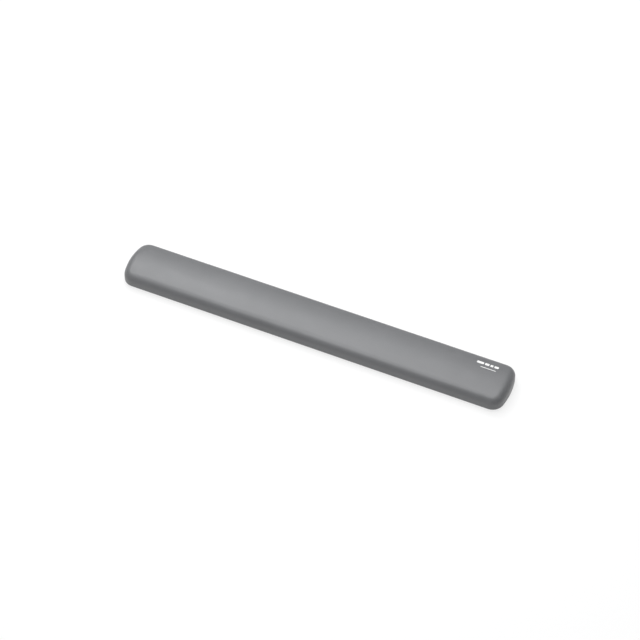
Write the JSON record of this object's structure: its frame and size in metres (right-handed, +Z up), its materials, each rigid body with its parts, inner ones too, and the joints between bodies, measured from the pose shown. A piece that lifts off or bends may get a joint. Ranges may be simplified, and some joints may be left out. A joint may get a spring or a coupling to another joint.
{
  "type": "wrist rest",
  "caption": "Long low cushioned bar with a crowned top, rounded shoulders and bowed ends, on a non-slip base; it carries the wrists in front of a keyboard.",
  "frame": {"origin": "on the desk, under the middle of the bar: the centre of the bounding box's bottom face", "axes": "+X along the bar, towards the end that carries the printed mark; +Y away from the user, towards the keyboard; +Z up, out of the crown"},
  "size_m": [0.46, 0.058, 0.02],
  "materials": {
    "cover_skin": "graphite grey soft-touch polyurethane skin on stretch knit, fine grain, satin",
    "soft_foam": "slow-recovery polyurethane foam, open cell, pale cream",
    "firm_foam": "firm polyurethane foam, fine cell, dark grey",
    "adhesive": "translucent pressure-sensitive adhesive film",
    "board_plastic": "black high-impact polystyrene sheet, fine matt",
    "base_rubber": "black non-slip rubber, matt, moulded honeycomb",
    "print_ink": "white heat-transfer print film, satin"
  },
  "bodies": {
    "root": {"top_cover": "cover_skin", "comfort_foam": "soft_foam", "support_foam": "firm_foam", "core_bond": "adhesive", "stiffener_board": "board_plastic", "base_bond": "adhesive", "non_slip_base": "base_rubber", "printed_mark": "print_ink"}
  },
  "joints": []
}
